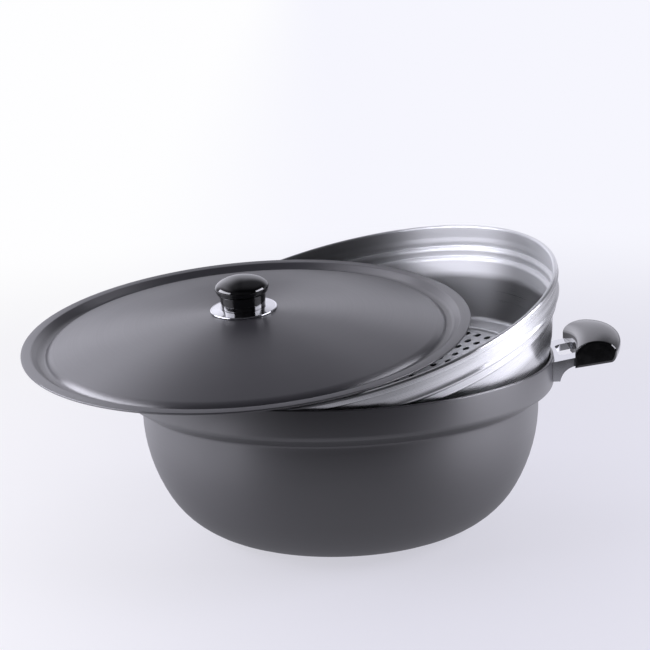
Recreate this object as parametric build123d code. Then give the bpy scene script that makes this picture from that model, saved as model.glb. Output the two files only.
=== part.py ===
# Steamer pot: a shouldered pot with two side handles, a perforated steamer and a domed lid.
# The steamer leans in the pot and the lid leans on both, as when the set is shown open.
# Millimetres. Origin: centre of the pot's base, on the table. +Z up, +X towards one handle.
import math
import os

import numpy as np
from build123d import *

# Clearances and overruns shared by the whole part
seat_gap = 0.3              # between two pieces that rest on each other and lift apart
fit_gap = 0.1               # between two pieces that are fastened together
overrun = 5.0               # how far a cut runs past the face that it opens

# Pot: one drawn shell with a wide band above a shoulder
band_radius = 165.0
rim_height = 133.5
band_height = 21.9
pot_wall = 2.5
shoulder_width = 12.0
shoulder_drop = 7.6
shoulder_outer_round = 5.0
shoulder_inner_round = 3.0
pot_neck_height = 6.0       # upright wall under the shoulder
pot_corner_round = 72.0     # the tight curve from the base into the side
pot_corner_angle = 59.9     # degrees of it, before the side's longer curve takes over
pot_rim_round = 1.0

# Steamer: one pressed sheet with two steps under its lip, measured down from the lip's top
steamer_wall = 1.5
lip_overhang = 3.3          # the lip stands this far outside the pot's band
lip_depth = 5.6
lip_round = 1.6
collar_setback = 2.3        # from the lip's outer edge in to the collar
scoop_depth = 0.8           # shallow groove round the collar
scoop_start = 10.0
scoop_middle = 14.5
scoop_round = 8.0
upper_step_depth = 19.0
upper_step_flare = 0.4
upper_step_width = 3.6
lower_step_depth = 26.4
lower_step_width = 3.8
step_rise = 0.6             # each step slopes by this much over its width
step_tip_round = 2.0
step_root_round = 1.6
body_taper = 15.3           # the body comes in by this much from the lower step to the base
body_bulge = 2.8            # and stands out by this much from a straight cone, halfway down
body_bulge_round = 120.0
base_corner_round = 6.0
ring_depth = 75.4           # the plain ring round the perforated plate
plate_depth = 76.9
plate_setback = 14.7        # from the body's side at the base in to the plate's slope
plate_slope = 1.6
plate_edge_round = 1.0

# Holes of the plate, in rings round one in the middle
hole_radius = 2.65
hole_margin = 7.5           # from the plate's edge in to the outermost ring
hole_ring_count = 8         # 11 on the real plate, fewer here to keep the mesh light
hole_step_count = 6         # a ring has this many holes more than the one inside it

# Where the steamer leans: its low side points to the front left
steamer_tilt_angle = 15.59
steamer_lean_angle = 214.06
steamer_shift_x = 4.22
steamer_shift_y = 2.08

# Lid: one domed sheet with a gutter inside a flat flange, measured up from the flange's top
lid_wall = 1.6
lid_overlap = 3.3           # the lid stands this far outside the steamer's lip
flange_width = 8.0
flange_edge_round = 0.6
flange_bend_round = 2.0
gutter_outer_slope = 5.6
gutter_floor_width = 4.6
gutter_inner_slope = 2.8
gutter_depth = 5.4
gutter_outer_round = 5.0
gutter_inner_round = 2.5
dome_edge_round = 2.0
dome_edge_drop = 1.8        # the dome ends this far below the flange's top
crown_height = 16.2

# Where the lid leans: its low side points to the front
lid_tilt_angle = 7.37
lid_lean_angle = 250.47
lid_shift_x = -70.31
lid_shift_y = -13.3

# Knob, the bright flange under it, and the screw that holds both on the lid
knob_flange_radius = 25.6
knob_flange_sheet = 1.2
knob_flange_rise = 2.5
knob_flange_bead = 0.8
knob_land_radius = 18.0
knob_radius = 20.5
knob_crown_height = 8.6
knob_lip_radius = 19.4
knob_lip_height = 3.4
knob_lip_round = 1.4
knob_neck_radius = 17.8
knob_neck_height = 11.4
knob_neck_round = 1.5
knob_foot_radius = 16.8
knob_pull_share = 0.55      # makes the crown's curve a quarter of an ellipse
insert_radius = 4.0
insert_length = 12.0
screw_radius = 2.5
screw_reach = 10.0          # how far the screw runs into the knob
screw_head_radius = 5.2
screw_head_height = 3.2
screw_head_bevel = 1.2
screw_slot_width = 1.2
screw_slot_depth = 1.4
backing_radius = 9.0
backing_thickness = 1.2

# Handles: a pressed bracket riveted to the band, and a moulded grip screwed on top of it
bracket_sheet = 2.0
bracket_half_width = 34.0
bracket_length = 38.0       # from the band outwards
bracket_slope_angle = 10.0        # degrees that its top rises outwards
bracket_top_drop = 2.6      # its top at the band lies this far below the rim
bracket_foot_height = 15.6
bracket_flange_depth = 6.4
bracket_sweep = 14.0        # from the band to where the flange is at its shallowest
bracket_end_round = 9.0
window_half_width = 17.5
window_start = 3.6
window_length = 19.4
window_round = 5.0
window_flange_depth = 3.4
rivet_half_pitch = 21.0
rivet_drop = 9.6            # below the bracket's top at the band
rivet_radius = 2.5
rivet_head_radius = 4.5
rivet_head_height = 1.8
rivet_inner_height = 0.9
rivet_head_bevel = 0.6

grip_gap = 17.0             # from the band to the grip
grip_half_length = 40.0
grip_end_width = 31.5
grip_end_height = 20.5
grip_middle_width = 35.0
grip_middle_height = 24.0
grip_below_bracket = 0.6
grip_edge_round = 2.0
grip_screw_out = 14.0       # from the grip's inner face to its screw
grip_screw_radius = 2.0
grip_screw_head_radius = 3.8
grip_screw_head_height = 2.4
grip_screw_reach = 7.0
grip_insert_radius = 3.4
grip_insert_length = 9.0

# Section of the grip in shares of its width and height
grip_spring_share = 0.51
grip_apex_share = 0.54
grip_shoulder_share = 0.56
grip_toe_width_share = 0.87
grip_toe_height_share = 0.17
grip_pull_share = 0.55

# How finely the resting heights are worked out
settle_turn_count = 480
settle_sample_count = 6
settle_tolerance = 0.01


# Turns an outline of radius and height about the vertical axis
def turned(outline):
    return revolve(Plane.XZ * outline, Axis.Z)


# Place of a piece that leans by a tilt towards an azimuth
def leaning(x, y, z, tilt, lean):
    return Pos(x, y, z) * Rot(0, 0, lean) * Rot(0, tilt, 0) * Rot(0, 0, -lean)


# Pot
def pot_outline():
    neck_radius = band_radius - shoulder_width
    shoulder_top = rim_height - band_height
    shoulder_foot = shoulder_top - shoulder_drop
    side_top = shoulder_foot - pot_neck_height
    turned_x = math.sin(math.radians(pot_corner_angle))
    turned_y = math.cos(math.radians(pot_corner_angle))
    joint_height = pot_corner_round * (1 - turned_y)
    side_round = (side_top - joint_height) / turned_y
    joint_radius = neck_radius - side_round * (1 - turned_x)
    base_radius = joint_radius - pot_corner_round * turned_x
    base = Line((0, 0), (base_radius, 0))
    corner = TangentArc((base_radius, 0), (joint_radius, joint_height), tangent=(1, 0))
    side = TangentArc((joint_radius, joint_height), (neck_radius, side_top), tangent=corner % 1)
    band = FilletPolyline(
        (neck_radius, side_top),
        (neck_radius, shoulder_foot),
        (band_radius, shoulder_top),
        (band_radius, rim_height),
        radius=[shoulder_inner_round, shoulder_outer_round],
    )
    sheet = Face((base + corner + side + band).offset_2d(pot_wall, side=Side.LEFT))
    return fillet(sheet.vertices().group_by(Axis.Y)[-1], pot_rim_round)


def pot_body():
    shell = turned(pot_outline())
    for side in (0, 180):
        for place in rivet_places():
            shell -= Rot(0, 0, side) * place * Cylinder(rivet_radius + fit_gap, overrun * 2)
    return shell


# Steamer
def lip_radius():
    return band_radius + lip_overhang


def lower_step_radius():
    return lip_radius() - collar_setback - upper_step_width - lower_step_width


def plate_radius():
    return lower_step_radius() - body_taper - plate_setback - plate_slope


def steamer_outline():
    collar = lip_radius() - collar_setback
    upper = collar + upper_step_flare
    middle = collar - upper_step_width
    lower = lower_step_radius()
    base = lower - body_taper
    halfway = (lower_step_depth + step_rise + ring_depth) / 2
    contour = FilletPolyline(
        (0, -plate_depth),
        (plate_radius(), -plate_depth),
        (plate_radius() + plate_slope, -ring_depth),
        (base, -ring_depth),
        ((base + lower) / 2 + body_bulge, -halfway),
        (lower, -lower_step_depth - step_rise),
        (middle, -lower_step_depth),
        (middle, -upper_step_depth - step_rise),
        (upper, -upper_step_depth),
        (collar - scoop_depth, -scoop_middle),
        (collar, -scoop_start),
        (collar, -lip_round),
        radius=[
            plate_edge_round,
            plate_edge_round,
            base_corner_round,
            body_bulge_round,
            step_root_round,
            step_tip_round,
            step_root_round,
            step_tip_round,
            scoop_round,
            scoop_round,
        ],
    )
    sheet = Face(contour.offset_2d(steamer_wall, side=Side.LEFT))
    lip_inner = collar - steamer_wall
    lip_middle = (lip_inner + lip_radius()) / 2
    lip = Rectangle(lip_radius() - lip_inner, lip_depth)
    lip = fillet(lip.vertices(), lip_round)
    return Sketch() + sheet + Pos(lip_middle, -lip_depth / 2) * lip


def hole_places():
    outermost = plate_radius() - hole_margin
    places = [(0, 0)]
    for ring in range(1, hole_ring_count + 1):
        radius = outermost * ring / hole_ring_count
        for turn in np.linspace(0, 2 * math.pi, ring * hole_step_count, endpoint=False):
            places.append((radius * math.cos(turn), radius * math.sin(turn)))
    return places


def steamer_insert():
    cuts = [Pos(x, y, -plate_depth) * Cylinder(hole_radius, overrun * 2) for x, y in hole_places()]
    return turned(steamer_outline()) - cuts


# Lid
def dome_edge_radius():
    gutter_width = gutter_outer_slope + gutter_floor_width + gutter_inner_slope
    return lip_radius() + lid_overlap - flange_width - gutter_width


def dome_ball_radius():
    rise = crown_height + dome_edge_drop
    return (dome_edge_radius() ** 2 + rise**2) / (2 * rise)


def dome_height(radius):
    ball = dome_ball_radius()
    return crown_height - ball + math.sqrt(ball**2 - radius**2)


def lid_outline():
    edge = lip_radius() + lid_overlap
    flange = edge - flange_width
    gutter_outside = flange - gutter_outer_slope
    gutter_inside = gutter_outside - gutter_floor_width
    bore = screw_radius + fit_gap
    tangent_run = dome_edge_round
    arc_end = dome_edge_radius() - tangent_run
    dome = RadiusArc(
        (bore, dome_height(bore)),
        (arc_end, dome_height(arc_end)),
        dome_ball_radius(),
    )
    rim = FilletPolyline(
        (arc_end, dome_height(arc_end)),
        (dome_edge_radius(), -dome_edge_drop),
        (gutter_inside, -gutter_depth),
        (gutter_outside, -gutter_depth),
        (flange, 0),
        (edge, 0),
        radius=[dome_edge_round, gutter_inner_round, gutter_outer_round, flange_bend_round],
    )
    sheet = Face((dome + rim).offset_2d(lid_wall, side=Side.RIGHT))
    return fillet(sheet.vertices().group_by(Axis.X)[-1], flange_edge_round)


# Knob and its fastening, in the lid's own frame
def knob_flange_seat():
    return dome_height(knob_flange_radius - knob_flange_bead) + fit_gap


def knob_foot():
    return knob_flange_seat() + knob_flange_rise


def knob_flange():
    bead_radius = knob_flange_radius - knob_flange_bead
    bead_height = knob_flange_seat() + knob_flange_bead
    bore = screw_radius + fit_gap
    land = knob_foot()
    sheet = make_face(
        Polyline(
            (bore, land),
            (knob_land_radius, land),
            (bead_radius, bead_height + knob_flange_sheet / 2),
            (bead_radius, bead_height - knob_flange_sheet / 2),
            (knob_land_radius, land - knob_flange_sheet),
            (bore, land - knob_flange_sheet),
            close=True,
        )
    )
    bead = Pos(bead_radius, bead_height) * Circle(knob_flange_bead)
    return turned(Sketch() + sheet + bead)


def lid_knob():
    foot = knob_foot() + fit_gap
    lip = foot + knob_neck_height
    widest = lip + knob_lip_height
    lower = FilletPolyline(
        (0, foot),
        (knob_foot_radius, foot),
        (knob_neck_radius, lip),
        (knob_lip_radius, lip),
        (knob_radius, widest),
        radius=[fit_gap, knob_neck_round, knob_lip_round],
    )
    top = widest + knob_crown_height
    crown = Bezier(
        (knob_radius, widest),
        (knob_radius, widest + knob_crown_height * knob_pull_share),
        (knob_radius * knob_pull_share, top),
        (0, top),
    )
    axis = Line((0, top), (0, foot))
    low = (Align.CENTER, Align.CENTER, Align.MIN)
    pocket = Cylinder(insert_radius + fit_gap, insert_length, align=low)
    return turned(make_face(lower + crown + axis)) - Pos(0, 0, foot) * pocket


def knob_insert():
    foot = knob_foot() + fit_gap
    tube = Cylinder(insert_radius, insert_length - fit_gap, align=(Align.CENTER, Align.CENTER, Align.MIN))
    bore = Cylinder(screw_radius + fit_gap, insert_length * 2)
    return Pos(0, 0, foot) * (tube - bore)


# Screw with its head's face at zero, the head below and the shank above
def slotted_screw(radius, reach, head_radius, head_height):
    low = (Align.CENTER, Align.CENTER, Align.MIN)
    head = Pos(0, 0, -head_height) * Cylinder(head_radius, head_height, align=low)
    head = chamfer(head.edges().group_by(Axis.Z)[0], head_height * screw_head_bevel / screw_head_height)
    slot = Pos(0, 0, -head_height) * Box(head_radius * 3, screw_slot_width, screw_slot_depth * 2)
    return head - slot + Cylinder(radius, reach, align=low)


def knob_screw():
    head_face = crown_height - lid_wall - backing_thickness - fit_gap * 2
    reach = knob_foot() + screw_reach - head_face
    screw = slotted_screw(screw_radius, reach, screw_head_radius, screw_head_height)
    return Pos(0, 0, head_face) * screw


def knob_washer():
    low = (Align.CENTER, Align.CENTER, Align.MIN)
    disc = Cylinder(backing_radius, backing_thickness, align=low)
    bore = Cylinder(screw_radius + fit_gap, backing_thickness * 3)
    return Pos(0, 0, crown_height - lid_wall - backing_thickness - fit_gap) * (disc - bore)


# Handle: heights and places shared by its pieces
def bracket_top(x):
    rise = (x - band_radius) * math.tan(math.radians(bracket_slope_angle))
    return rim_height - bracket_top_drop + rise


def bracket_start():
    return math.sqrt(band_radius**2 - bracket_half_width**2) - bracket_sheet


# Everything of the handle's room that lies under the bracket's top, shifted up or down
def under_top(shift):
    first = bracket_start() - overrun
    last = band_radius + bracket_length + overrun
    floor = rim_height - bracket_top_drop - bracket_foot_height - overrun
    side = Polyline(
        (first, floor),
        (last, floor),
        (last, bracket_top(last) + shift),
        (first, bracket_top(first) + shift),
        close=True,
    )
    return extrude(Plane.XZ * make_face(side), bracket_half_width + overrun, both=True)


# Upright block over the bracket's plan, grown or shrunk by a margin
def plan_block(margin):
    first = bracket_start() - overrun
    last = band_radius + bracket_length + margin
    half = bracket_half_width + margin
    low = (Align.MIN, Align.CENTER, Align.MIN)
    block = Pos(first, 0, 0) * Box(last - first, half * 2, rim_height * 2, align=low)
    corners = block.edges().filter_by(Axis.Z).group_by(Axis.X)[-1]
    return fillet(corners, bracket_end_round + margin)


# Upright block through the window, grown or shrunk by a margin
def window_block(margin):
    length = window_length + margin * 2
    low = (Align.MIN, Align.CENTER, Align.MIN)
    block = Box(length, (window_half_width + margin) * 2, rim_height * 2, align=low)
    block = fillet(block.edges().filter_by(Axis.Z), window_round + margin)
    return Pos(band_radius + window_start - margin, 0, 0) * block


def band_block(radius):
    return Cylinder(radius, rim_height * 4)


def handle_bracket():
    foot = rim_height - bracket_top_drop - bracket_foot_height
    sweep_end = band_radius + bracket_sweep
    foot_face = band_radius + fit_gap + bracket_sheet
    last = band_radius + bracket_length + overrun
    slack = bracket_sheet / math.cos(math.radians(bracket_slope_angle))
    side = (
        Line((bracket_start() - overrun, foot), (foot_face, foot))
        + Bezier(
            (foot_face, foot),
            (foot_face + bracket_sheet, bracket_top(foot_face) - bracket_flange_depth),
            (sweep_end, bracket_top(sweep_end) - bracket_flange_depth),
        )
        + Polyline(
            (sweep_end, bracket_top(sweep_end) - bracket_flange_depth),
            (last, bracket_top(last) - bracket_flange_depth),
            (last, bracket_top(last) + overrun),
            (bracket_start() - overrun, bracket_top(last) + overrun),
            (bracket_start() - overrun, foot),
        )
    )
    above_edge = extrude(Plane.XZ * make_face(side), bracket_half_width + overrun, both=True)
    block = above_edge & under_top(0) & plan_block(0)
    hollow = under_top(-slack) & plan_block(-bracket_sheet)
    hollow -= band_block(foot_face)
    shell = block - hollow
    collar = block & window_block(bracket_sheet)
    collar -= under_top(-slack - window_flange_depth)
    shell = shell + collar - window_block(0) - band_block(band_radius + fit_gap)
    for place in rivet_places():
        shell -= place * Cylinder(rivet_radius + fit_gap, overrun * 2)
    shell -= grip_screw_place() * Cylinder(grip_screw_radius + fit_gap, overrun)
    return shell


# Places of the rivets, on the band's outer face and pointing outwards
def rivet_places():
    turn = math.degrees(math.asin(rivet_half_pitch / band_radius))
    height = rim_height - bracket_top_drop - rivet_drop
    return [Rot(0, 0, side * turn) * Pos(band_radius, 0, height) * Rot(0, 90, 0) for side in (-1, 1)]


def handle_rivets():
    low = (Align.CENTER, Align.CENTER, Align.MIN)
    inner_face = -pot_wall - fit_gap * 2
    outer_face = bracket_sheet + fit_gap * 3
    shank = Pos(0, 0, inner_face) * Cylinder(rivet_radius, outer_face - inner_face, align=low)
    outer = Pos(0, 0, outer_face) * Cylinder(rivet_head_radius, rivet_head_height, align=low)
    outer = chamfer(outer.edges().group_by(Axis.Z)[-1], rivet_head_bevel * 2)
    inner = Cylinder(rivet_head_radius, rivet_inner_height, align=low)
    inner = chamfer(inner.edges().group_by(Axis.Z)[0], rivet_head_bevel)
    inner = Pos(0, 0, inner_face - rivet_inner_height) * inner
    rivet = shank + outer + inner
    return Compound(children=[place * rivet for place in rivet_places()])


# Centre of the grip screw on the bracket's underside, pointing up into the grip
def grip_screw_place():
    x = band_radius + grip_gap + grip_screw_out
    slack = bracket_sheet / math.cos(math.radians(bracket_slope_angle))
    return Pos(x, 0, bracket_top(x) - slack) * Rot(0, -bracket_slope_angle, 0)


def grip_section(y, width, height):
    inner = math.sqrt((band_radius + grip_gap) ** 2 - y**2)
    floor = bracket_top(inner) - bracket_flange_depth - grip_below_bracket
    spring = (inner, floor + height * grip_spring_share)
    apex = (inner + width * grip_apex_share, floor + height)
    shoulder = (inner + width, floor + height * grip_shoulder_share)
    toe = (inner + width * grip_toe_width_share, floor + height * grip_toe_height_share)
    inner_pull = (spring[0], spring[1] + (apex[1] - spring[1]) * grip_pull_share)
    inner_apex = (apex[0] - (apex[0] - spring[0]) * grip_pull_share, apex[1])
    outer_apex = (apex[0] + (shoulder[0] - apex[0]) * grip_pull_share, apex[1])
    outer_pull = (shoulder[0], shoulder[1] + (apex[1] - shoulder[1]) * grip_pull_share)
    toe_pull = (shoulder[0], toe[1] + (shoulder[1] - toe[1]) * grip_toe_height_share)
    outline = (
        Line((inner, floor), spring)
        + Bezier(spring, inner_pull, inner_apex, apex)
        + Bezier(apex, outer_apex, outer_pull, shoulder)
        + Bezier(shoulder, toe_pull, toe)
        + Line(toe, (inner, floor))
    )
    return Pos(0, y, 0) * (Plane.XZ * make_face(outline))


def handle_grip():
    end = (grip_end_width, grip_end_height)
    sections = [
        grip_section(-grip_half_length, *end),
        grip_section(0, grip_middle_width, grip_middle_height),
        grip_section(grip_half_length, *end),
    ]
    grip = loft(sections)
    ends = grip.edges().group_by(Axis.Y)
    grip = fillet(ends[0] + ends[-1], grip_edge_round)
    pocket = under_top(fit_gap) & plan_block(fit_gap)
    pocket -= window_block(-fit_gap)
    grip -= pocket
    slack = bracket_sheet / math.cos(math.radians(bracket_slope_angle))
    low = (Align.CENTER, Align.CENTER, Align.MIN)
    socket = Cylinder(grip_insert_radius + fit_gap, grip_insert_length + slack, align=low)
    return grip - grip_screw_place() * socket


def grip_screw():
    screw = slotted_screw(
        grip_screw_radius,
        bracket_sheet + grip_screw_reach,
        grip_screw_head_radius,
        grip_screw_head_height,
    )
    return grip_screw_place() * Pos(0, 0, -fit_gap) * screw


def grip_insert():
    low = (Align.CENTER, Align.CENTER, Align.MIN)
    tube = Cylinder(grip_insert_radius, grip_insert_length - fit_gap * 2, align=low)
    bore = Cylinder(grip_screw_radius + fit_gap, grip_insert_length * 3)
    return grip_screw_place() * Pos(0, 0, bracket_sheet + fit_gap) * (tube - bore)


# Points along an outline of radius and height, in order round it
def outline_points(outline):
    shares = np.linspace(0, 1, settle_sample_count + 1)
    runs = []
    for edge in outline.faces()[0].outer_wire().order_edges():
        points = [edge.position_at(float(share)) for share in shares]
        runs.append(np.array([(point.X, point.Y) for point in points]))
    tail = runs[-1][[0, -1]]
    joined = []
    for run in runs:
        if np.abs(tail - run[-1]).sum(axis=1).min() < np.abs(tail - run[0]).sum(axis=1).min():
            run = run[::-1]
        joined.append(run[:-1])
        tail = run[-1:]
    return np.concatenate(joined)


# Rotation matrix and offset of a place
def place_arrays(place):
    origin = Vector(place.position)
    columns = [Vector((place * Pos(*unit)).position) - origin for unit in ((1, 0, 0), (0, 1, 0), (0, 0, 1))]
    matrix = np.array([[column.X, column.Y, column.Z] for column in columns]).T
    return matrix, np.array([origin.X, origin.Y, origin.Z])


# Least distance from a turned piece in one place to a turned piece in another
def clearance(points, place, other_points, other_place):
    turns = np.linspace(0, 2 * math.pi, settle_turn_count, endpoint=False)
    radius, height = points[:, 0][:, None], points[:, 1][:, None]
    ring = np.stack(
        [radius * np.cos(turns), radius * np.sin(turns), height + 0 * turns], axis=-1
    ).reshape(-1, 3)
    matrix, offset = place_arrays(place)
    other_matrix, other_offset = place_arrays(other_place)
    local = (ring @ matrix.T + offset - other_offset) @ other_matrix
    flat = np.stack([np.hypot(local[:, 0], local[:, 1]), local[:, 2]], axis=-1)
    low, high = other_points.min(axis=0), other_points.max(axis=0)
    outside = np.maximum(np.maximum(low - flat, flat - high), 0)
    reach = np.hypot(outside[:, 0], outside[:, 1])
    if reach.min() > overrun:
        return float(reach.min())
    near = flat[reach < overrun]
    start = other_points
    step = np.roll(other_points, -1, axis=0) - start
    length = np.maximum((step**2).sum(axis=1), 1e-12)
    best = math.inf
    for begin, stride, square in zip(start, step, length):
        share = np.clip((near - begin) @ stride / square, 0, 1)
        gap = near - begin - share[:, None] * stride
        best = min(best, float((gap**2).sum(axis=1).min()))
    return math.sqrt(best)


# Lowers a piece from well above until its least gap to the pieces under it is the seat gap
def settled_height(points, height, x, y, tilt, lean, rests):
    spare = math.inf
    while spare > settle_tolerance:
        place = leaning(x, y, height, tilt, lean)
        over = [clearance(points, place, *rest) for rest in rests]
        under = [clearance(*rest, points, place) for rest in rests]
        spare = min(over + under) - seat_gap
        height -= spare
    return height


def main():
    pot = outline_points(pot_outline())
    steamer = outline_points(steamer_outline())
    lid = outline_points(lid_outline())
    ground = Pos(0, 0, 0)

    steamer_pose = (steamer_shift_x, steamer_shift_y)
    steamer_angles = (steamer_tilt_angle, steamer_lean_angle)
    above = rim_height + plate_depth + band_radius * math.sin(math.radians(steamer_tilt_angle))
    steamer_height = settled_height(steamer, above, *steamer_pose, *steamer_angles, [(pot, ground)])
    steamer_place = leaning(*steamer_pose, steamer_height, *steamer_angles)
    print("steamer height", round(steamer_height, 2))

    lid_pose = (lid_shift_x, lid_shift_y)
    lid_angles = (lid_tilt_angle, lid_lean_angle)
    above = steamer_height + band_radius
    rests = [(pot, ground), (steamer, steamer_place)]
    lid_height = settled_height(lid, above, *lid_pose, *lid_angles, rests)
    lid_place = leaning(*lid_pose, lid_height, *lid_angles)
    print("lid height", round(lid_height, 2))

    nodes = {"pot_body": pot_body(), "steamer_insert": steamer_place * steamer_insert()}
    handle = {
        "handle_bracket": handle_bracket(),
        "handle_rivets": handle_rivets(),
        "handle_grip": handle_grip(),
        "grip_screw": grip_screw(),
        "grip_insert": grip_insert(),
    }
    for name, piece in handle.items():
        nodes[name + "_right"] = piece
        nodes[name + "_left"] = Rot(0, 0, 180) * piece
    lid_pieces = {
        "lid_shell": turned(lid_outline()),
        "knob_flange": knob_flange(),
        "lid_knob": lid_knob(),
        "knob_insert": knob_insert(),
        "knob_screw": knob_screw(),
        "knob_washer": knob_washer(),
    }
    for name, piece in lid_pieces.items():
        nodes[name] = lid_place * piece

    os.makedirs("parts", exist_ok=True)
    for name, piece in nodes.items():
        export_step(piece, "parts/" + name + ".step")


main()
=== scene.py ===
import bpy
import math
from mathutils import Matrix, Vector


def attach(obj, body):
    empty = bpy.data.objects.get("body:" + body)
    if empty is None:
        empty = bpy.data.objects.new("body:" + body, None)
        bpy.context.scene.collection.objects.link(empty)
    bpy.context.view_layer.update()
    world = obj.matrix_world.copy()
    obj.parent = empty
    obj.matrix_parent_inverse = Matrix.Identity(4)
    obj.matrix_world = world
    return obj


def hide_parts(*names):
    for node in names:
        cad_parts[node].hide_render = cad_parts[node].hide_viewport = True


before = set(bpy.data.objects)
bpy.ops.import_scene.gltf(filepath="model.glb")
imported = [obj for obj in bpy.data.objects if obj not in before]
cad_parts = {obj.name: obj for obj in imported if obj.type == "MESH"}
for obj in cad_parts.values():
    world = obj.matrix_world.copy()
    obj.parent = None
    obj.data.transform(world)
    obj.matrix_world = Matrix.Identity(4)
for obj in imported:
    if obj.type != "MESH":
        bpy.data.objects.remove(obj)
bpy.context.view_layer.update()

mm = 0.001
print("frame loaded:", len(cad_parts), "nodes")

# where the steamer and the lid lean: their centres in millimetres, how far and which way in degrees
steamerPose = {"x": 4.22, "y": 2.08, "height": 168.18, "tilt": 15.59, "lean": 214.06}
lidPose = {"x": -70.31, "y": -13.3, "height": 161.05, "tilt": 7.37, "lean": 250.47}


def leaningPlace(pose):
    lean = math.radians(pose["lean"])
    turn = Matrix.Rotation(lean, 4, "Z") @ Matrix.Rotation(math.radians(pose["tilt"]), 4, "Y")
    turn = turn @ Matrix.Rotation(-lean, 4, "Z")
    return Matrix.Translation(Vector((pose["x"], pose["y"], pose["height"])) * mm) @ turn


steamerPlace = leaningPlace(steamerPose)
lidPlace = leaningPlace(lidPose)
groundPlace = Matrix.Identity(4)


# colours and nodes

def linear(hexText):
    channels = [int(hexText[i:i + 2], 16) / 255 for i in (0, 2, 4)]
    return [c / 12.92 if c <= 0.04045 else ((c + 0.055) / 1.055) ** 2.4 for c in channels] + [1.0]


# each setting is a value or another node's output, for an input (by name or number) or else a property
def addNode(tree, kind, settings=None):
    node = tree.nodes.new(kind)
    for key, value in (settings or {}).items():
        if isinstance(value, bpy.types.NodeSocket):
            tree.links.new(value, node.inputs[key])
        elif isinstance(key, int) or key in node.inputs:
            node.inputs[key].default_value = value
        else:
            setattr(node, key, value)
    return node


def addMath(tree, operation, *terms):
    return addNode(tree, "ShaderNodeMath", {"operation": operation, **dict(enumerate(terms))}).outputs[0]


def addVectorMath(tree, operation, *terms):
    return addNode(tree, "ShaderNodeVectorMath", {"operation": operation, **dict(enumerate(terms))}).outputs


def addNoise(tree, where, scale, detail, roughness=0.5):
    return addNode(tree, "ShaderNodeTexNoise", {
        "Vector": where, "Scale": scale, "Detail": detail, "Roughness": roughness,
    }).outputs["Fac"]


# carries a value over from the span start to end to the span low to high
def addRamp(tree, value, start, end, low, high, easing="LINEAR"):
    return addNode(tree, "ShaderNodeMapRange", {
        "interpolation_type": easing, "Value": value,
        "From Min": start, "From Max": end, "To Min": low, "To Max": high,
    }).outputs[0]


# the product of soft ramps, each along one of the named ways
def addRamps(tree, ways, ramps, full=1.0):
    product = full
    for way, start, end, low, high in ramps:
        ramp = addRamp(tree, ways[way], start, end, low, high, "SMOOTHSTEP")
        product = addMath(tree, "MULTIPLY", product, ramp)
    return product


def addBlend(tree, factor, first, second):
    return addNode(tree, "ShaderNodeMix", {
        "data_type": "RGBA", "Factor": factor, "A": first, "B": second,
    }).outputs["Result"]


def startMaterial(name):
    material = bpy.data.materials.new(name)
    material.use_nodes = True
    material.node_tree.nodes.clear()
    return material, material.node_tree


def finishMaterial(tree, settings):
    shader = addNode(tree, "ShaderNodeBsdfPrincipled", settings)
    addNode(tree, "ShaderNodeOutputMaterial", {"Surface": shader.outputs["BSDF"]})


# materials

noiseSpan = (0.3, 0.7)  # nearly all of a noise texture's values lie in it


# about a piece's own axis: the place in its own frame, radius, height, and the ways round it and outwards
def turnedCoordinates(tree, place):
    back = place.inverted()
    axis = place.to_3x3() @ Vector((0, 0, 1))
    where = addNode(tree, "ShaderNodeTexCoord").outputs["Object"]
    local = addNode(tree, "ShaderNodeMapping", {
        "Vector": where, "Location": back.to_translation(), "Rotation": back.to_euler(),
    }).outputs["Vector"]
    split = addNode(tree, "ShaderNodeSeparateXYZ", {"Vector": local}).outputs
    squares = [addMath(tree, "MULTIPLY", split[way], split[way]) for way in ("X", "Y")]
    radius = addMath(tree, "SQRT", addMath(tree, "ADD", *squares))
    offset = addVectorMath(tree, "SUBTRACT", where, place.to_translation())["Vector"]
    along = addVectorMath(tree, "CROSS_PRODUCT", axis, offset)["Vector"]
    lineWay = addVectorMath(tree, "NORMALIZE", along)["Vector"]
    outward = addVectorMath(tree, "CROSS_PRODUCT", lineWay, axis)["Vector"]
    return local, radius, split["Z"], lineWay, outward


turnedLook = {
    "lineDetail": 2.0, "lineRoughness": 0.6, "cloudDetail": 3.0, "cloudShare": 0.35,
    "lowerEdge": 3 * mm,  # half the height over which the finer, painted-shade lower part begins
    "outerFacing": 0.25,  # how far a face has to look outwards to count as outside
    "quarterTurn": 0.25,  # highlights stretch across the turning lines
}


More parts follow.
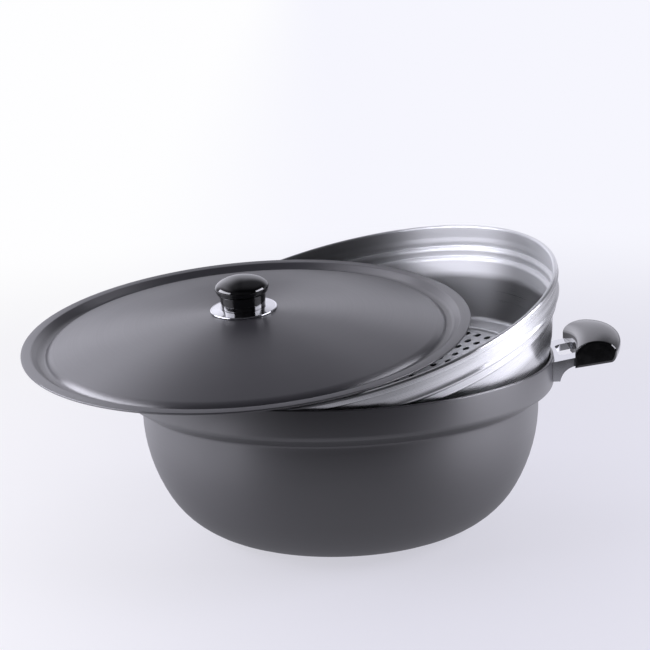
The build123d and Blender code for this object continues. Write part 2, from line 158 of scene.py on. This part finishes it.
# spun metal: fine turning lines run round the axis, over broad soft clouds
def turnedMetal(name, place, finish):
    look = turnedLook
    material, tree = startMaterial(name)
    local, radius, height, lineWay, outward = turnedCoordinates(tree, place)
    lines = addNode(tree, "ShaderNodeCombineXYZ", {"X": radius, "Y": height}).outputs[0]
    fine = addNoise(tree, lines, 1 / finish["lineSpacing"], look["lineDetail"], look["lineRoughness"])
    broad = addNoise(tree, local, 1 / finish["cloudSize"], look["cloudDetail"])
    blend = addNode(tree, "ShaderNodeMix", {
        "data_type": "FLOAT", "Factor": look["cloudShare"], "A": fine, "B": broad,
    }).outputs[0]
    normal = addNode(tree, "ShaderNodeNewGeometry").outputs["Normal"]
    facing = addVectorMath(tree, "DOT_PRODUCT", normal, outward)["Value"]
    outside = addRamp(tree, facing, 0.0, look["outerFacing"], 0.0, finish["outerFiner"])
    lowerSpan = (finish["finerBelow"] - look["lowerEdge"], finish["finerBelow"] + look["lowerEdge"])
    drawn = addRamp(tree, height, *lowerSpan, finish["finer"], 0.0)
    # painted shade: below finerBelow the colour is darkened, standing in for the shade deep inside the steamer
    shade = addRamp(tree, height, *lowerSpan, finish["paintedShadeShare"], 1.0)
    rough = addRamp(tree, blend, *noiseSpan, finish["roughLow"], finish["roughHigh"])
    rough = addMath(tree, "SUBTRACT", rough, addMath(tree, "MAXIMUM", outside, drawn))
    colour = addBlend(tree, blend, linear(finish["darkColour"]), linear(finish["lightColour"]))
    colour = addNode(tree, "ShaderNodeVectorMath", {"operation": "SCALE", 0: colour, "Scale": shade})
    bump = addNode(tree, "ShaderNodeBump", {
        "Height": fine, "Strength": finish["lineStrength"], "Distance": finish["lineDepth"],
    })
    finishMaterial(tree, {
        "Base Color": colour.outputs["Vector"], "Roughness": rough, "Normal": bump.outputs[0],
        "Metallic": finish["metal"], "IOR": finish["ior"], "Anisotropic": finish["stretch"],
        "Anisotropic Rotation": look["quarterTurn"], "Tangent": lineWay,
    })
    return material


# lineSpacing is the distance between turning lines; below the height finerBelow, in the piece's own frame,
# roughness drops by finer and the colour to the share paintedShadeShare, a painted shade; outside, roughness
# drops by outerFiner
anodisedFinish = {
    "darkColour": "303033", "lightColour": "363539", "roughLow": 0.32, "roughHigh": 0.40, "metal": 0.0,
    "ior": 2.2,  # above the oxide's own, because the metal under it adds to the reflection
    "stretch": 0.8, "finerBelow": -1.0, "finer": 0.0, "outerFiner": 0.0, "paintedShadeShare": 1.0,
    "lineSpacing": 0.8 * mm, "cloudSize": 60 * mm, "lineStrength": 0.06, "lineDepth": 0.01 * mm,
}
bareFinish = {
    "darkColour": "D9DADB", "lightColour": "E6E7E8", "roughLow": 0.42, "roughHigh": 0.50, "metal": 1.0,
    "ior": 1.5, "stretch": 0.85,
    "finerBelow": -39 * mm, "finer": 0.16, "outerFiner": 0.18, "paintedShadeShare": 0.60,
    "lineSpacing": 0.5 * mm, "cloudSize": 45 * mm, "lineStrength": 0.05, "lineDepth": 0.01 * mm,
}
# hard anodised aluminium, spun: dark grey oxide over metal, satin, with faint turning lines
hardAnodisedPot = turnedMetal("hardAnodisedPot", groundPlace, anodisedFinish)
hardAnodisedLid = turnedMetal("hardAnodisedLid", lidPlace, anodisedFinish)
# bare aluminium, pressed and lightly brushed while turning: bright, and finer where it is drawn deep; low down
# its colour is darkened, a painted shade over the plate and the lower walls
brushedAluminium = turnedMetal("brushedAluminium", steamerPlace, bareFinish)


# smooth metal: a faint haze varies its roughness and its tint
def polishedMetal(name, finish):
    material, tree = startMaterial(name)
    where = addNode(tree, "ShaderNodeTexCoord").outputs["Object"]
    haze = addNoise(tree, where, 1 / finish["hazeSize"], 3.0)
    light = linear(finish["colour"])
    dark = [c * 0.94 for c in light[:3]] + [1.0]  # 6% darker in the haze
    finishMaterial(tree, {
        "Base Color": addBlend(tree, haze, light, dark), "Metallic": 1.0,
        "Roughness": addRamp(tree, haze, *noiseSpan, finish["roughLow"], finish["roughHigh"]),
    })
    return material


# chromed steel, polished: the brackets and the flange under the knob
chromedSteel = polishedMetal("chromedSteel", {
    "colour": "E2E3E6", "roughLow": 0.07, "roughHigh": 0.13, "hazeSize": 8 * mm,
})
# steel, zinc plated: screws and washer
zincScrew = polishedMetal("zincScrew", {
    "colour": "B9BCC2", "roughLow": 0.25, "roughHigh": 0.40, "hazeSize": 3 * mm,
})
# brass, turned: the threaded inserts
turnedBrass = polishedMetal("turnedBrass", {
    "colour": "C9A45C", "roughLow": 0.22, "roughHigh": 0.35, "hazeSize": 3 * mm,
})
# aluminium, cold headed: the rivets
rivetAluminium = polishedMetal("rivetAluminium", {
    "colour": "C4C6CA", "roughLow": 0.25, "roughHigh": 0.38, "hazeSize": 4 * mm,
})

resinFinish = {
    "colour": "060607", "ior": 1.75, "roughLow": 0.06, "roughHigh": 0.12,
    "peelSize": 6 * mm, "peelStrength": 0.08, "peelDepth": 0.05 * mm,
}


# phenolic resin, moulded in a polished tool: deep black gloss with a slight orange peel
def mouldedResin(name, finish):
    material, tree = startMaterial(name)
    where = addNode(tree, "ShaderNodeTexCoord").outputs["Object"]
    peel = addNoise(tree, where, 1 / finish["peelSize"], 2.0)
    bump = addNode(tree, "ShaderNodeBump", {
        "Height": peel, "Strength": finish["peelStrength"], "Distance": finish["peelDepth"],
    })
    finishMaterial(tree, {
        "Base Color": linear(finish["colour"]), "IOR": finish["ior"], "Normal": bump.outputs[0],
        "Roughness": addRamp(tree, peel, *noiseSpan, finish["roughLow"], finish["roughHigh"]),
    })
    return material


phenolicBlack = mouldedResin("phenolicBlack", resinFinish)

nodeMaterials = {
    "pot_body": hardAnodisedPot, "lid_shell": hardAnodisedLid, "steamer_insert": brushedAluminium,
    "knob_flange": chromedSteel, "lid_knob": phenolicBlack,
    "knob_insert": turnedBrass, "knob_screw": zincScrew, "knob_washer": zincScrew,
}
for side in ("right", "left"):
    nodeMaterials["handle_bracket_" + side] = chromedSteel
    nodeMaterials["handle_rivets_" + side] = rivetAluminium
    nodeMaterials["handle_grip_" + side] = phenolicBlack
    nodeMaterials["grip_screw_" + side] = zincScrew
    nodeMaterials["grip_insert_" + side] = turnedBrass
for nodeName, material in nodeMaterials.items():
    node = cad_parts[nodeName]
    node.data.materials.clear()
    node.data.materials.append(material)
print("materials made:", len(set(nodeMaterials.values())))


# turned pieces: outlines are points of radius and height, and all their sizes are millimetres and degrees

# rounds every corner between the first and the last by its own rounding
def roundedOutline(corners, roundings, stepDegrees=9):
    points = [Vector(corners[0])]
    for before, corner, after, rounding in zip(corners, corners[1:], corners[2:], roundings):
        corner = Vector(corner)
        back = (Vector(before) - corner).normalized()
        ahead = (Vector(after) - corner).normalized()
        bend = math.pi - back.angle(ahead)
        if rounding <= 0 or bend < 0.001:
            points.append(corner)
            continue
        run = rounding * math.tan(bend / 2)
        centre = corner + (back + ahead).normalized() * (rounding / math.cos(bend / 2))
        start = corner + back * run - centre
        side = 1 if back.cross(ahead) < 0 else -1
        steps = max(2, math.ceil(math.degrees(bend) / stepDegrees))
        for step in range(steps + 1):
            angle = side * bend * step / steps
            turned = Vector((
                start.x * math.cos(angle) - start.y * math.sin(angle),
                start.x * math.sin(angle) + start.y * math.cos(angle),
            ))
            points.append(centre + turned)
    points.append(Vector(corners[-1]))
    return points


# the same outline moved to its left by the thickness of the sheet
def offsetOutline(points, distance):
    moved = []
    for i, point in enumerate(points):
        before = points[max(i - 1, 0)]
        after = points[min(i + 1, len(points) - 1)]
        inward = (point - before).normalized() if i else (after - point).normalized()
        outward = (after - point).normalized() if i < len(points) - 1 else inward
        normal = Vector((-inward.y - outward.y, inward.x + outward.x)).normalized()
        stretch = max(0.35, normal.dot(Vector((-inward.y, inward.x))))  # no spikes at sharp bends
        moved.append(point + normal * (distance / stretch))
    return moved


# draws a closed outline by extruding one point, then spins it about the axis
def spinPiece(name, outline, place, material, body, replaced, filling=None, steps=256):
    bpy.ops.object.select_all(action="DESELECT")
    bpy.ops.mesh.primitive_plane_add(size=mm, location=(outline[0].x * mm, 0, outline[0].y * mm))
    piece = bpy.context.object
    piece.name = name
    bpy.ops.object.mode_set(mode="EDIT")
    bpy.ops.mesh.select_all(action="SELECT")
    bpy.ops.mesh.merge(type="CENTER")
    bpy.ops.object.mode_set(mode="OBJECT")
    bpy.ops.object.transform_apply(location=True, rotation=True, scale=True)
    bpy.ops.object.mode_set(mode="EDIT")
    bpy.ops.mesh.select_all(action="SELECT")
    for point, following in zip(outline, outline[1:] + outline[:1]):
        step = (following - point) * mm
        bpy.ops.mesh.extrude_region_move(TRANSFORM_OT_translate={"value": (step.x, 0, step.y)})
    bpy.ops.mesh.select_all(action="SELECT")
    bpy.ops.mesh.remove_doubles(threshold=0.001 * mm)  # closes the outline
    bpy.ops.mesh.select_all(action="SELECT")
    bpy.ops.mesh.spin(steps=steps, angle=math.tau, center=(0, 0, 0), axis=(0, 0, 1))
    bpy.ops.mesh.select_all(action="SELECT")
    bpy.ops.mesh.remove_doubles(threshold=0.002 * mm)  # closes the turn, and the points on the axis
    bpy.ops.mesh.normals_make_consistent(inside=False)
    bpy.ops.object.mode_set(mode="OBJECT")
    if filling:
        filling.select_set(True)
        bpy.context.view_layer.objects.active = piece
        bpy.ops.object.join()
    piece.matrix_world = place
    bpy.ops.object.transform_apply(location=True, rotation=True, scale=True)
    bpy.ops.object.shade_smooth_by_angle(angle=math.radians(35))
    piece.data.materials.append(material)
    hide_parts(*replaced)
    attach(piece, body)


potSizes = {
    "bandRadius": 165.0, "rimHeight": 133.5, "bandHeight": 21.9, "wall": 2.5, "shoulderWidth": 12.0,
    "shoulderDrop": 7.6, "shoulderInnerRound": 3.0, "shoulderOuterRound": 5.0, "neckHeight": 6.0,
    "cornerRound": 72.0, "cornerAngle": 59.9, "rimRound": 1.0, "rimStep": 18,
    "cornerSteps": 12, "sideSteps": 8,
}


def makePot(s):
    neck = s["bandRadius"] - s["shoulderWidth"]
    shoulderTop = s["rimHeight"] - s["bandHeight"]
    shoulderFoot = shoulderTop - s["shoulderDrop"]
    sideTop = shoulderFoot - s["neckHeight"]
    cornerAngle = math.radians(s["cornerAngle"])
    sideAngle = math.radians(90 - s["cornerAngle"])
    # the corner's tight curve runs over into the side's longer one, which ends upright at the neck
    sideRound = (sideTop - s["cornerRound"] * (1 - math.cos(cornerAngle))) / math.cos(cornerAngle)
    jointRadius = neck - sideRound * (1 - math.sin(cornerAngle))
    baseRadius = jointRadius - s["cornerRound"] * math.sin(cornerAngle)
    outer = [Vector((0, 0))]
    for step in range(s["cornerSteps"] + 1):
        angle = cornerAngle * step / s["cornerSteps"]
        outer.append(Vector((
            baseRadius + s["cornerRound"] * math.sin(angle), s["cornerRound"] * (1 - math.cos(angle)),
        )))
    for step in range(1, s["sideSteps"] + 1):
        angle = cornerAngle + sideAngle * step / s["sideSteps"]
        outer.append(Vector((
            neck - sideRound * (1 - math.sin(angle)), sideTop - sideRound * math.cos(angle),
        )))
    outer += roundedOutline([
        (neck, sideTop + 1),  # 1 mm up the neck, clear of the curve's last point
        (neck, shoulderFoot), (s["bandRadius"], shoulderTop), (s["bandRadius"], s["rimHeight"] - s["rimRound"]),
    ], [s["shoulderInnerRound"], s["shoulderOuterRound"]])
    inner = offsetOutline(outer, s["wall"])
    inner[0].x = 0
    inner[-1].y = outer[-1].y
    rim = roundedOutline([
        outer[-1], (s["bandRadius"], s["rimHeight"]), (s["bandRadius"] - s["wall"], s["rimHeight"]), inner[-1],
    ], [s["rimRound"], s["rimRound"]], s["rimStep"])
    outline = outer + rim[1:-1] + inner[::-1]
    spinPiece("potShell", outline, groundPlace, hardAnodisedPot, "pot", ["pot_body"])


makePot(potSizes)
print("pot spun")

# heights are depths below the lip's top
steamerSizes = {
    "wall": 1.5, "lipRadius": 168.3, "lipDepth": 5.6, "lipRound": 1.6, "collarRadius": 166.0,
    "grooveTop": 10.0, "grooveDepth": 14.5, "grooveRadius": 165.2,
    "upperStepRadius": 166.4, "upperStepDepth": 19.0, "stepRadius": 162.4, "lowerStepDepth": 26.4,
    "stepRise": 0.6, "bodyRadius": 158.6, "bodyMiddleRadius": 153.75, "bodyMiddleDepth": 51.2,
    "baseRadius": 143.3, "ringDepth": 75.4, "plateSlope": 1.6, "plateRadius": 127.0, "plateDepth": 76.9,
    # of the plate's two edges, the base, the body's middle, the four of the steps and the two of the groove
    "roundings": [1.0, 1.0, 6.0, 120.0, 1.6, 2.0, 1.6, 2.0, 8.0, 8.0],
    "plateSeam": 123.5, "holeDiameter": 5.6, "holeCorners": 20, "outerRing": 119.5, "ringSpacing": 10.86,
    "holesPerRing": [60, 60, 60, 48, 42, 36, 30, 24, 18, 12, 6, 1],  # from the outermost in to the middle
}


# the perforated plate: all its circles are drawn first, then one fill leaves the holes open
def makePlate(s):
    bpy.ops.object.select_all(action="DESELECT")
    top = (s["wall"] - s["plateDepth"]) * mm
    bpy.ops.mesh.primitive_circle_add(vertices=256, radius=s["plateSeam"] * mm, location=(0, 0, top))
    plate = bpy.context.object
    holeRadius = s["holeDiameter"] / 2 * mm
    bpy.ops.object.mode_set(mode="EDIT")
    for ring, count in enumerate(s["holesPerRing"]):
        radius = (s["outerRing"] - ring * s["ringSpacing"]) * mm if count > 1 else 0
        for hole in range(count):
            turn = math.tau * hole / count
            place = (radius * math.cos(turn), radius * math.sin(turn), top)
            bpy.ops.mesh.primitive_circle_add(vertices=s["holeCorners"], radius=holeRadius, location=place)
    bpy.ops.mesh.select_all(action="SELECT")
    bpy.ops.mesh.fill(use_beauty=False)
    bpy.ops.mesh.select_all(action="SELECT")
    bpy.ops.mesh.extrude_region_move(TRANSFORM_OT_translate={"value": (0, 0, -s["wall"] * mm)})
    bpy.ops.mesh.select_all(action="SELECT")
    bpy.ops.mesh.normals_make_consistent(inside=False)
    bpy.ops.object.mode_set(mode="OBJECT")
    bpy.ops.object.transform_apply(location=True, rotation=True, scale=True)
    return plate


def makeSteamer(s):
    outer = roundedOutline([
        (s["plateSeam"], -s["plateDepth"]),
        (s["plateRadius"], -s["plateDepth"]),
        (s["plateRadius"] + s["plateSlope"], -s["ringDepth"]),
        (s["baseRadius"], -s["ringDepth"]),
        (s["bodyMiddleRadius"], -s["bodyMiddleDepth"]),
        (s["bodyRadius"], -s["lowerStepDepth"] - s["stepRise"]),
        (s["stepRadius"], -s["lowerStepDepth"]),
        (s["stepRadius"], -s["upperStepDepth"] - s["stepRise"]),
        (s["upperStepRadius"], -s["upperStepDepth"]),
        (s["grooveRadius"], -s["grooveDepth"]),
        (s["collarRadius"], -s["grooveTop"]),
        (s["collarRadius"], -s["lipDepth"]),
    ], s["roundings"])
    inner = offsetOutline(outer, s["wall"])
    inner[0].x = s["plateSeam"]
    lipInner = s["collarRadius"] - s["wall"]
    lip = roundedOutline([
        outer[-1], (s["lipRadius"], -s["lipDepth"]), (s["lipRadius"], 0), (lipInner, 0),
        (lipInner, -s["lipDepth"]),
    ], [s["lipRound"]] * 3)
    outline = outer + lip[1:-1] + inner[::-1]
    spinPiece(
        "steamerSheet", outline, steamerPlace, brushedAluminium, "steamer", ["steamer_insert"], makePlate(s),
    )


makeSteamer(steamerSizes)
print("steamer spun")

lidSizes = {
    "edge": 171.6, "flangeWidth": 8.0, "wall": 1.6, "gutterDepth": 5.4, "gutterOuter": 158.0,
    "gutterInner": 153.4, "domeEdge": 150.6, "domeDrop": 1.8, "crown": 16.2, "bore": 2.6,
    "shoulderStart": 3.6,  # the dome's own curve stops this far inside its edge
    "roundings": [9.0, 2.5, 5.0, 2.0],  # of the dome's shoulder, the gutter's two corners and the flange
    "edgeRound": 0.6, "domeSteps": 24, "bendStep": 5, "edgeStep": 22,
}


def makeLid(s):
    rise = s["crown"] + s["domeDrop"]
    ball = (s["domeEdge"] ** 2 + rise ** 2) / (2 * rise)
    top = []
    for step in range(s["domeSteps"] + 1):
        radius = s["bore"] + (s["domeEdge"] - s["shoulderStart"] - s["bore"]) * step / s["domeSteps"]
        top.append(Vector((radius, s["crown"] - ball + math.sqrt(ball ** 2 - radius ** 2))))
    top += roundedOutline([
        top[-1], (s["domeEdge"], -s["domeDrop"]), (s["gutterInner"], -s["gutterDepth"]),
        (s["gutterOuter"], -s["gutterDepth"]), (s["edge"] - s["flangeWidth"], 0),
        (s["edge"] - s["edgeRound"], 0),
    ], s["roundings"], s["bendStep"])[1:]
    under = offsetOutline(top, -s["wall"])
    rim = roundedOutline([
        top[-1], (s["edge"], 0), (s["edge"], -s["wall"]), under[-1],
    ], [s["edgeRound"], s["edgeRound"]], s["edgeStep"])
    outline = top + rim[1:-1] + under[::-1]
    spinPiece("lidDisc", outline, lidPlace, hardAnodisedLid, "lid", ["lid_shell"])


makeLid(lidSizes)
print("lid spun")


# floor, room and light: all their places and sizes are in metres

# ramps say along which way, from where to where, and from which brightness to which
stageLook = {
    "size": 60, "rough": 0.6, "specular": 0.2, "cloudsPerMetre": 1.5, "sheetColours": ("E9E9F0", "E2E2E9"),
    "evenFrom": 0.20, "evenTo": 1.4, "evenShareNear": 0.70,
    "acrossFrom": -0.35, "acrossTo": 0.05,  # painted light: it is brighter on the left and darker to the right
    "nearColours": ("FDFCFF", "E8E7F1"), "farColours": ("FEFEFF", "F6F6FE"), "mirroredColour": "F4F3FF",
    "mirroredRamps": [
        ("aside", 0.10, 0.50, 0.45, 1.5),  # bright at both sides
        ("Y", -0.62, -0.36, 0.03, 1.0),  # dark in front
        ("Y", 0.15, 0.60, 1.0, 0.75),
        ("corner", 0.10, 0.60, 1.0, 0.40),  # darker towards the right far and left near corners
    ],
}


# a white sheet: the camera sees its shading and shadow near the pot and an even white further off,
# and the metal mirrors it lit unevenly
def paleStage(s):
    material, tree = startMaterial("paleSheet")
    where = addNode(tree, "ShaderNodeTexCoord").outputs["Object"]
    split = addNode(tree, "ShaderNodeSeparateXYZ", {"Vector": where}).outputs
    cloud = addNoise(tree, where, s["cloudsPerMetre"], 2.0)
    sheet = addNode(tree, "ShaderNodeBsdfPrincipled", {
        "Base Color": addBlend(tree, cloud, *map(linear, s["sheetColours"])),
        "Roughness": s["rough"], "Specular IOR Level": s["specular"],
    })
    distance = addVectorMath(tree, "LENGTH", where)["Value"]
    far = addRamp(tree, distance, s["evenFrom"], s["evenTo"], 0.0, 1.0, "SMOOTHSTEP")
    # painted light: the even white is made brighter on the left than on the right
    across = addRamp(tree, split["X"], s["acrossFrom"], s["acrossTo"], 0.0, 1.0, "SMOOTHSTEP")
    nearColour = addBlend(tree, across, *map(linear, s["nearColours"]))
    farColour = addBlend(tree, across, *map(linear, s["farColours"]))
    even = addNode(tree, "ShaderNodeEmission", {"Color": addBlend(tree, far, nearColour, farColour)})
    shown = addNode(tree, "ShaderNodeMixShader", {
        "Fac": addRamp(tree, far, 0.0, 1.0, s["evenShareNear"], 1.0),
        1: sheet.outputs["BSDF"], 2: even.outputs["Emission"],
    })
    ways = {
        "aside": addMath(tree, "ABSOLUTE", split["X"]), "Y": split["Y"],
        "corner": addMath(tree, "MULTIPLY", split["X"], split["Y"]),
    }
    mirrored = addNode(tree, "ShaderNodeEmission", {
        "Color": linear(s["mirroredColour"]), "Strength": addRamps(tree, ways, s["mirroredRamps"]),
    })
    chosen = addNode(tree, "ShaderNodeMixShader", {
        "Fac": addNode(tree, "ShaderNodeLightPath").outputs["Is Camera Ray"],
        1: mirrored.outputs["Emission"], 2: shown.outputs["Shader"],
    })
    addNode(tree, "ShaderNodeOutputMaterial", {"Surface": chosen.outputs["Shader"]})
    return material


bpy.ops.object.select_all(action="DESELECT")
bpy.ops.mesh.primitive_plane_add(size=stageLook["size"], location=(0, 0, 0))
floor = bpy.context.object
floor.name = "floorSheet"
floor.data.materials.append(paleStage(stageLook))

# the room that the metal reflects; its ramps run over the direction's own parts, from -1 to 1
roomLook = {
    "colour": "F4F3FF", "strength": 0.95,
    "slant": 0.35,  # how much higher the backdrop reaches towards the left
    "ramps": [
        ("slanted", 0.48, 0.82, 1.0, 0.18),  # dark overhead
        ("Y", -0.45, 0.35, 0.05, 1.0),  # white behind, dark in front
        ("X", -0.30, -0.08, 1.65, 1.0),  # brighter to the left
        ("X", -0.78, -0.50, 0.30, 1.0),  # and dark at the far left
        ("X", 0.45, 0.70, 1.0, 0.40),  # dimmer at the far right
    ],
    "highRamp": ("Z", 0.42, 0.68, 1.0, 0.75),  # a little dimmer high up,
    "highOnLeft": ("X", -0.20, 0.0, 0.0, 1.0),  # on the left alone
}


def makeRoom(s):
    world = bpy.data.worlds.new("softRoom")
    bpy.context.scene.world = world
    world.use_nodes = True
    tree = world.node_tree
    tree.nodes.clear()
    direction = addNode(tree, "ShaderNodeTexCoord").outputs["Generated"]
    axes = addNode(tree, "ShaderNodeSeparateXYZ", {"Vector": direction}).outputs
    ways = {way: axes[way] for way in ("X", "Y", "Z")}
    ways["slanted"] = addMath(tree, "MULTIPLY_ADD", axes["X"], s["slant"], axes["Z"])
    high = addMath(
        tree, "MAXIMUM", addRamps(tree, ways, [s["highRamp"]]), addRamps(tree, ways, [s["highOnLeft"]]),
    )
    room = addMath(tree, "MULTIPLY", addRamps(tree, ways, s["ramps"], s["strength"]), high)
    strength = addNode(tree, "ShaderNodeMix", {
        "data_type": "FLOAT", "Factor": addNode(tree, "ShaderNodeLightPath").outputs["Is Camera Ray"],
        "A": room, "B": s["strength"],
    }).outputs[0]
    glow = addNode(tree, "ShaderNodeBackground", {"Color": linear(s["colour"]), "Strength": strength})
    addNode(tree, "ShaderNodeOutputWorld", {"Surface": glow.outputs[0]})


makeRoom(roomLook)

softBoxes = {
    "leftBox": {
        "place": (-0.85, -0.15, 0.50), "aim": (0, -0.15, 0.38), "width": 1.0, "height": 0.40,
        "power": 8.5, "mirrored": True,
    },
    "rightBox": {
        "place": (0.85, -0.15, 0.50), "aim": (0, -0.15, 0.38), "width": 0.7, "height": 0.40,
        "power": 6.8, "mirrored": True,
    },
    "topBox": {
        "place": (0, 0.2, 2.0), "aim": (0, 0, 0), "width": 1.8, "height": 1.4,
        "power": 7.5, "mirrored": False,
    },
}
lampColour = "F4F3FF"


def makeSoftBox(name, s):
    light = bpy.data.lights.new(name, "AREA")
    light.shape = "RECTANGLE"
    light.size, light.size_y = s["width"], s["height"]
    light.energy = s["power"]
    light.color = linear(lampColour)[:3]
    lamp = bpy.data.objects.new(name, light)
    bpy.context.scene.collection.objects.link(lamp)
    lamp.location = s["place"]
    lamp.rotation_euler = (Vector(s["aim"]) - Vector(s["place"])).to_track_quat("-Z", "Y").to_euler()
    lamp.visible_glossy = s["mirrored"]


for boxName, boxLook in softBoxes.items():
    makeSoftBox(boxName, boxLook)
print("floor, room and lights placed")

# camera at the photograph's angle, held slightly turned as in the photograph: degrees, metres away,
# a target in millimetres and a focal length in pixels of a picture 650 wide
cameraView = {
    "elevation": 12.25, "distance": 1.5477, "roll": 2.16, "target": (-9.7, 0, 158.6), "focal": 2009.0,
    "pictureWidth": 650, "sensorWidth": 36,
}


def makeCamera(v):
    elevation, roll = math.radians(v["elevation"]), math.radians(v["roll"])
    back = Vector((0, -math.cos(elevation), math.sin(elevation)))
    right, up = Vector((1, 0, 0)), Vector((0, math.sin(elevation), math.cos(elevation)))
    ownRight = math.cos(roll) * right - math.sin(roll) * up
    ownUp = math.sin(roll) * right + math.cos(roll) * up
    camera = bpy.data.cameras.new("photoCamera")
    camera.sensor_width = v["sensorWidth"]
    camera.lens = v["focal"] / v["pictureWidth"] * v["sensorWidth"]
    seen = bpy.data.objects.new("photoCamera", camera)
    bpy.context.scene.collection.objects.link(seen)
    turn = Matrix((ownRight, ownUp, back)).transposed().to_4x4()
    seen.matrix_world = Matrix.Translation(Vector(v["target"]) * mm + back * v["distance"]) @ turn
    bpy.context.scene.camera = seen


makeCamera(cameraView)
bpy.context.scene.view_settings.view_transform = "Standard"

print("scene finished")
